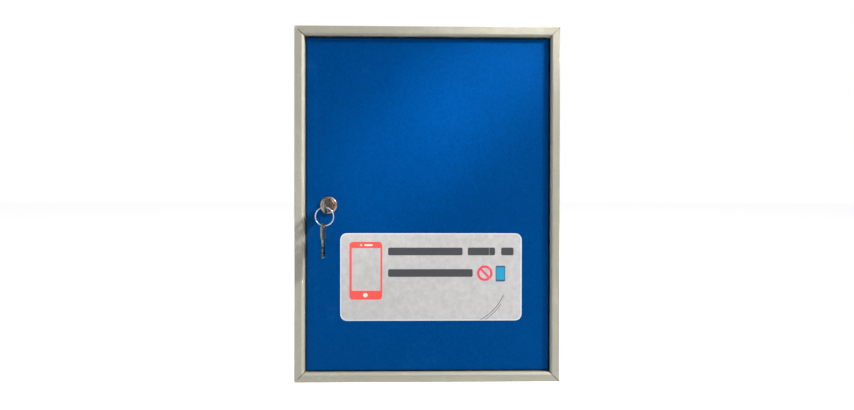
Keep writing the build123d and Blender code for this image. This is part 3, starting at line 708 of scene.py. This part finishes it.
def addPrintedSheet():
    shape = sheetShape
    low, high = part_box("label_sheet")
    centre = (low + high) / 2
    half = ((high.x - low.x) / 2 / mm, (high.z - low.z) / 2 / mm)
    columns, rows = (round(2 * h / shape["cell"]) for h in half)

    def pullIn(x, z):
        # Points beyond a corner's arc move onto it
        over = [max(abs(v) - (h - shape["corner"]), 0.0) for v, h in ((x, half[0]), (z, half[1]))]
        reach = math.hypot(*over)
        share = max(over) / reach if reach > 0 else 1.0
        return tuple(
            math.copysign(h - shape["corner"] + o * share, v) if o > 0 else v
            for v, h, o in ((x, half[0], over[0]), (z, half[1], over[1]))
        )

    def lift(x, z):
        toEdge = min(half[0] - abs(x), half[1] - abs(z))
        free = min(max(toEdge / shape["stuckRim"], 0.0), 1.0)
        level = noise.noise(Vector((x, shape["bubbleSlice"], z)) / shape["bubbleWidth"])
        bubble = max(level - shape["bubbleFrom"], 0.0)
        fold = math.exp(-(((x - sheetPrint["foldX"]) / shape["foldWidth"]) ** 2))
        return free * (shape["bulge"] * bubble + shape["foldHeight"] * fold)

    bm = bmesh.new()
    grid = []
    for row in range(rows + 1):
        line = []
        for column in range(columns + 1):
            x, z = pullIn(half[0] * (2 * column / columns - 1), half[1] * (2 * row / rows - 1))
            front = high.y - (shape["thickness"] + lift(x, z)) * mm
            line.append(bm.verts.new((centre.x + x * mm, front, centre.z + z * mm)))
        grid.append(line)
    for lower, upper in zip(grid, grid[1:]):
        for column in range(columns):
            bm.faces.new((lower[column], lower[column + 1], upper[column + 1], upper[column]))
    rim = [e for e in bm.edges if e.is_boundary]
    skirt = bmesh.ops.extrude_edge_only(bm, edges=rim)
    for vert in (v for v in skirt["geom"] if isinstance(v, bmesh.types.BMVert)):
        vert.co.y = high.y
    bmesh.ops.contextual_create(bm, geom=[e for e in bm.edges if e.is_boundary])
    material = makeSheetPrint("sheetPrint", centre, half, shape["corner"])
    addPiece("printedSheet", bm, "door", "label_film", material, "label_sheet", sharpAngle=50)


lockShape = {
    # Radii and distances in mm
    "flange": 10.0,
    "flangeHeight": 2.6,
    "dome": (2.4, 1.8),  # width and height of the flange's rounded rim
    "domeFoot": 0.15,  # the small slope between the dish and the rim
    "dish": 0.5,  # how deep the ring around the plug is turned
    "bore": 5.8,
    "boreEdge": 0.25,
    "lip": 0.9,  # width of the level lip around the bore
    "lipSlope": 0.3,
    "lipFoot": 0.2,
    "barrel": 8.0,
    "barrelEdge": 0.6,
    "flat": 7.0,  # from the middle to each of the barrel's two flats
    "threadDepth": 0.35,
    "threadPitch": 1.0,
    "threadFrom": 1.6,  # behind the flange
    "threadShort": 1.2,  # before the barrel's end
    "segments": 96,
}


def addLockHousing(material):
    shape = lockShape
    low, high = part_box("lock_housing")
    middle = (low + high) / 2
    front, back = low.y / mm, high.y / mm
    face = front + shape["flangeHeight"]
    dish = front + shape["dish"]
    rim, bore, barrel = shape["flange"], shape["bore"], shape["barrel"]
    domeWide, domeTall = shape["dome"]
    lip, slope = bore + shape["lip"], shape["lipSlope"]
    edge, foot, domeFoot = shape["boreEdge"], shape["lipFoot"], shape["domeFoot"]
    profile = [
        (bore, back),
        (bore, front + edge),
        (bore + edge, front),
        (lip, front),
        (lip + slope, dish - foot),
        (lip + slope + foot, dish),
        (rim - domeWide - 2 * domeFoot, dish),
        (rim - domeWide - domeFoot, dish - domeFoot),
    ]
    for degrees in range(0, 90, 10):
        a = math.radians(degrees)
        profile.append((rim - domeWide + domeWide * math.sin(a), front + domeTall * (1.0 - math.cos(a))))
    profile += [(rim, face), (barrel, face)]
    turn = face + shape["threadFrom"]
    while turn < back - shape["threadShort"]:
        profile += [(barrel, turn), (barrel - shape["threadDepth"], turn + shape["threadPitch"] / 2)]
        turn += shape["threadPitch"]
    profile += [(barrel, back - shape["barrelEdge"]), (barrel - shape["barrelEdge"], back)]
    bm = lathe(profile, shape["segments"])
    wide = barrel / 2  # of the block that cuts each flat
    for side in (-1, 1):
        place = (side * (shape["flat"] + wide / 2), (face + back) / 2, 0)
        bm = cut(bm, block((wide, back - face, 4 * barrel), place))
    bmesh.ops.translate(bm, verts=bm.verts, vec=(middle.x, 0, middle.z))
    addPiece("lockBarrel", bm, "door", "lock_chrome", material, "lock_housing", sharpAngle=28)


keyShape = {
    "bow": (18.0, 17.4, 5.0),  # length, width, corner radius
    "hole": (4.4, 3.0),  # inset from the bow's end, radius
    "holeSegments": 40,
    "panel": (6.4, 10.5, 0.2),  # coined recess on the bow: length, width, depth
    "panelCentre": 4.9,
    "panelEdge": 0.15,
    "blade": (20.6, 7.6),  # length, width
    "tip": 1.9,
    "thickness": 2.0,
    "firstCut": 6.0,
    "cutPitch": 2.9,
    "cuts": (1.1, 1.7, 0.8, 1.5, 1.0),
    "cutFloor": 0.15,  # half the length of the level floor of each cut
    "groove": (1.0, 0.45, 0.8),  # width, depth and offset of the milled groove on each side
    "grooveFrom": 1.0,  # from the shoulder
    "edge": 0.25,
    "sharper": 60,  # degrees: only the edges sharper than this are rounded
}


def keyOutline():
    # Seen flat: x runs out along the bow from the shoulder, y across the blade, in mm
    shape = keyShape
    bowLength, bowWidth, corner = shape["bow"]
    bladeLength, bladeWidth = shape["blade"]
    edge = bladeWidth / 2
    floor = shape["cutFloor"]
    upper = [(-bladeLength, edge - shape["tip"]), (-bladeLength + shape["tip"], edge)]
    for number, depth in reversed(list(enumerate(shape["cuts"]))):
        at = -shape["firstCut"] - number * shape["cutPitch"]
        bottom = edge - depth + floor
        upper += [(at - depth, edge), (at - floor, bottom), (at + floor, bottom), (at + depth, edge)]
    upper += [(0.0, edge)]
    upper += arcPoints((corner, bowWidth / 2 - corner), corner, 180, 90)[1:]
    upper += arcPoints((bowLength - corner, bowWidth / 2 - corner), corner, 90, 0)
    return upper + [(x, -y) for x, y in reversed(upper)]


def keyBlank():
    shape = keyShape
    bladeLength = shape["blade"][0]
    half = shape["thickness"] / 2
    bm = bmesh.new()
    face = bm.faces.new([bm.verts.new((x * mm, y * mm, -half * mm)) for x, y in keyOutline()])
    raised = bmesh.ops.extrude_face_region(bm, geom=[face])
    top = [v for v in raised["geom"] if isinstance(v, bmesh.types.BMVert)]
    bmesh.ops.translate(bm, verts=top, vec=(0, 0, shape["thickness"] * mm))
    bmesh.ops.recalc_face_normals(bm, faces=bm.faces)
    inset, radius = shape["hole"]
    drill = bmesh.new()
    bmesh.ops.create_cone(
        drill,
        cap_ends=True,
        segments=shape["holeSegments"],
        radius1=radius * mm,
        radius2=radius * mm,
        depth=4 * shape["thickness"] * mm,
        matrix=Matrix.Translation(((shape["bow"][0] - inset) * mm, 0, 0)),
    )
    bm = cut(bm, drill)
    width, depth, offset = shape["groove"]
    start = shape["grooveFrom"]
    length, across, recess = shape["panel"]
    for side in (-1, 1):
        place = (-(bladeLength + start) / 2, side * offset, side * half)
        bm = cut(bm, block((bladeLength - start, width, 2 * depth), place))
        panel = block((length, across, 2 * recess), (shape["panelCentre"], 0, side * half))
        bm = cut(bm, roundEdges(panel, shape["panelEdge"]))
    return roundEdges(bm, shape["edge"], shape["sharper"])


def addKey(name, body, node, shoulder, turn, material):
    bm = keyBlank()
    bmesh.ops.transform(bm, matrix=Matrix.Translation(shoulder) @ turn.to_4x4(), verts=bm.verts)
    addPiece(name, bm, body, "key_nickel", material, node, sharpAngle=30)


def addKeys(material):
    bowLength = keyShape["bow"][0] * mm
    low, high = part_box("inserted_key")
    shoulder = Vector(((low.x + high.x) / 2, low.y + bowLength, (low.z + high.z) / 2))
    intoLock = Matrix(((0, 0, -1), (-1, 0, 0), (0, 1, 0)))
    addKey("keyInLock", "key", "inserted_key", shoulder, intoLock, material)
    low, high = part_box("spare_key")
    middle = (low + high) / 2
    shoulder = Vector((middle.x, middle.y, high.z - bowLength))
    hanging = Matrix(((0, 0, 1), (0, 1, 0), (1, 0, 0)))
    addKey("keySpare", "spare", "spare_key", shoulder, hanging, material)


ringShape = {
    "seat": 1.5,  # mm from the outside to the inside, where the keys hang
    "wire": 1.2,
    "sides": 8,
    "fill": 0.49,  # share of half the ring's depth that each turn fills, either side of its middle
    "turns": 2.0,
    "gap": 10.0,  # degrees short of the full turns
    "jog": 36.0,  # degrees over which the wire crosses to the second turn
    "steps": 180,
    "start": 200.0,  # where the wire begins, degrees round from +X
}


def addSplitRing(material):
    shape = ringShape
    low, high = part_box("key_ring")
    centre = (low + high) / 2
    width = (high.y - low.y) / 2  # each turn takes half of the ring's depth
    height = shape["wire"] * mm
    radius = (high.x - low.x) / 2 - shape["seat"] * mm + height / 2
    sides = shape["sides"]
    halfSide = math.pi / sides
    section = []
    for corner in range(sides):
        angle = halfSide * (2 * corner + 1)
        out = math.cos(angle) * height / 2 / math.cos(halfSide)
        section.append((out, math.sin(angle) * width * shape["fill"] / math.cos(halfSide)))
    sweep = 360 * shape["turns"] - shape["gap"]
    bm = bmesh.new()
    rows = []
    for step in range(shape["steps"] + 1):
        turned = sweep * step / shape["steps"]
        share = min(max((turned - sweep / 2) / shape["jog"] + 0.5, 0.0), 1.0)
        aside = (share * share * (3 - 2 * share) - 0.5) * width
        angle = math.radians(shape["start"] + turned)
        out = Vector((math.cos(angle), 0, math.sin(angle)))
        row = []
        for x, y in section:
            row.append(bm.verts.new(centre + out * (radius + x) + Vector((0, aside + y, 0))))
        rows.append(row)
    for row, following in zip(rows, rows[1:]):
        for i in range(sides):
            j = (i + 1) % sides
            bm.faces.new((row[i], row[j], following[j], following[i]))
    bm.faces.new(rows[0])
    bm.faces.new(list(reversed(rows[-1])))
    addPiece("splitRing", bm, "ring", "zinc_steel", material, "key_ring", sharpAngle=60)


screwShape = {
    # Radii and lengths in mm
    "head": 2.6,
    "headEdge": 0.1,
    "headDepth": 1.1,
    "shank": 1.5,
    "plain": 0.4,  # length of shank under the head that has no thread
    "length": 7.0,
    "threadDepth": 0.3,
    "threadPitch": 0.7,
    "threadShort": 1.2,  # before the point
    "point": (0.4, 0.8),  # how much narrower the shank is, and how far from its end
    "cross": (0.75, 2.9, 1.3),  # slot width, slot length, depth
    "segments": 32,
    "sideScrews": (-140.0, 0.0, 140.0),  # heights of those in the two upright rims
    "endScrews": (-65.0, 65.0),  # places of those in the top and bottom rims
    "spin": (40, 25),  # radians per metre across and up, so that no two slots line up
}


def screwBlank():
    shape = screwShape
    head, shank, length, edge = (shape[key] for key in ("head", "shank", "length", "headEdge"))
    pitch = shape["threadPitch"]
    profile = [(0.0, 0.0), (head - edge, 0.0), (head, -edge), (shank, -shape["headDepth"])]
    along = shape["headDepth"] + shape["plain"]
    while along < length - shape["threadShort"]:
        profile += [(shank, -along), (shank - shape["threadDepth"], -along - pitch / 2)]
        along += pitch
    narrower, fromEnd = shape["point"]
    profile += [(shank - narrower, -length + fromEnd), (0.0, -length)]
    screw = lathe(profile, shape["segments"])
    slotWidth, slotLength, depth = shape["cross"]
    for across, up in ((slotWidth, slotLength), (slotLength, slotWidth)):
        screw = cut(screw, block((across, 2 * depth, up), (0, 0, 0)))
    blank = bpy.data.meshes.new("screwBlank")
    screw.to_mesh(blank)
    screw.free()
    return blank


def addRimScrews(material):
    shape = screwShape
    blank = screwBlank()
    low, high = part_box("rim_screws")
    inset = shape["head"] * mm
    uprights = (low.x + inset, high.x - inset)
    ends = (low.z + inset, high.z - inset)
    places = [(x, z * mm) for x in uprights for z in shape["sideScrews"]]
    places += [(x * mm, z) for z in ends for x in shape["endScrews"]]
    bm = bmesh.new()
    for x, z in places:
        before = len(bm.verts)
        bm.from_mesh(blank)
        bm.verts.ensure_lookup_table()
        spun = Matrix.Rotation(x * shape["spin"][0] + z * shape["spin"][1], 4, "Y")
        bmesh.ops.transform(bm, matrix=Matrix.Translation((x, high.y, z)) @ spun, verts=bm.verts[before:])
    addPiece("panelScrews", bm, "cabinet", "zinc_steel", material, "rim_screws", sharpAngle=30)


# The start of a node's name, and the finish it gets
nodeFinishes = {
    "wall_profile_left": "aluminiumUpright",
    "wall_profile_right": "aluminiumUpright",
    "wall_profile_top": "aluminiumAcross",
    "wall_profile_bottom": "aluminiumAcross",
    "corner_keys": "millAluminium",
    "back_panel": "backSteel",
    "rack_rivets": "millAluminium",
    "rack": "rackEnamel",
    "divider": "rackEnamel",
    "door_panel": "doorEnamel",
    "pivot_brackets": "doorEnamel",
    "pivot_pins": "zincSteel",
    "pivot_bushes": "nylon",
    "door_stops": "zincSteel",
    "stop_rivets": "millAluminium",
    "stop_pads": "padRubber",
    "lock_washer": "zincSteel",
    "lock_nut": "zincSteel",
    "lock_plug": "plugBrass",
    "lock_cam": "zincSteel",
    "cam_screw": "zincSteel",
}


def dressFrame(materials):
    dressed = 0
    for name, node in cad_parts.items():
        fitting = [start for start in nodeFinishes if name.startswith(start)]
        if fitting:
            node.data.materials.clear()
            node.data.materials.append(materials[nodeFinishes[max(fitting, key=len)]])
            dressed += 1
    print("nodes dressed:", dressed)


def seenRays(tree):
    # 1 for rays that look, straight or by way of metal or glass, and 0 for those that carry light
    paths = tree.nodes.new("ShaderNodeLightPath").outputs
    seen = calc(tree, "MAXIMUM", paths["Is Camera Ray"], paths["Is Glossy Ray"])
    return calc(tree, "MAXIMUM", seen, paths["Is Transmission Ray"])


floorSetup = {
    "reach": 6.0,  # metres each way
    "colour": (0.65, 0.65, 0.65),
    "glow": 0.95,  # added to the lit floor where it is seen
}


def addFloor(setup, level):
    bm = bmesh.new()
    bmesh.ops.create_grid(bm, x_segments=1, y_segments=1, size=setup["reach"])
    mesh = bpy.data.meshes.new("floor")
    bm.to_mesh(mesh)
    bm.free()
    floor = bpy.data.objects.new("floor", mesh)
    floor.location.z = level
    scene.collection.objects.link(floor)
    material = bpy.data.materials.new("floorWhite")
    material.use_nodes = True
    tree = material.node_tree
    tree.nodes.clear()
    strength = calc(tree, "MULTIPLY", seenRays(tree), setup["glow"])
    glow = put(tree, "ShaderNodeEmission", {"Color": (1, 1, 1, 1), "Strength": strength})
    matt = put(tree, "ShaderNodeBsdfDiffuse", {"Color": (*setup["colour"], 1)})
    both = put(tree, "ShaderNodeAddShader", {0: matt.outputs[0], 1: glow.outputs[0]})
    put(tree, "ShaderNodeOutputMaterial", {"Surface": both.outputs[0]})
    mesh.materials.append(material)


def lightWorld(ambient):
    # White where it is seen, and a faint even light on everything
    world = bpy.data.worlds.new("studio")
    scene.world = world
    world.use_nodes = True
    tree = world.node_tree
    tree.nodes.clear()
    strength = remap(tree, seenRays(tree), 0.0, 1.0, ambient, 1.0)
    white = put(tree, "ShaderNodeBackground", {"Color": (1, 1, 1, 1), "Strength": strength})
    put(tree, "ShaderNodeOutputWorld", {"Surface": white.outputs[0]})


materials = {
    "aluminiumUpright": makeAluminium("aluminiumUpright", "z"),
    "aluminiumAcross": makeAluminium("aluminiumAcross", "x"),
    "doorEnamel": makeEnamel("doorEnamel", doorEnamel),
    "rackEnamel": makeEnamel("rackEnamel", rackEnamel),
    "backSteel": makeSpangledSteel("backSteel", backSteel),
}
for name, look in metalLooks.items():
    materials[name] = makeSmallMetal(name, look)
for name, look in mouldedLooks.items():
    materials[name] = makeMoulded(name, look)
print("finishes made:", len(materials))
dressFrame(materials)

addPrintedSheet()
addLockHousing(materials["lockChromePaintedReflection"])
addKeys(materials["keyNickel"])
addSplitRing(materials["ringSteel"])
addRimScrews(materials["zincSteel"])
print("detailed pieces added")

addCamera(cameraSetup)
for name, lamp in lightSetup["lamps"].items():
    addLamp(name, lamp)
lightWorld(lightSetup["ambient"])
addFloor(floorSetup, cadBounds[0].z)
scene.view_settings.view_transform = "Standard"
print("camera, lamps and floor set")
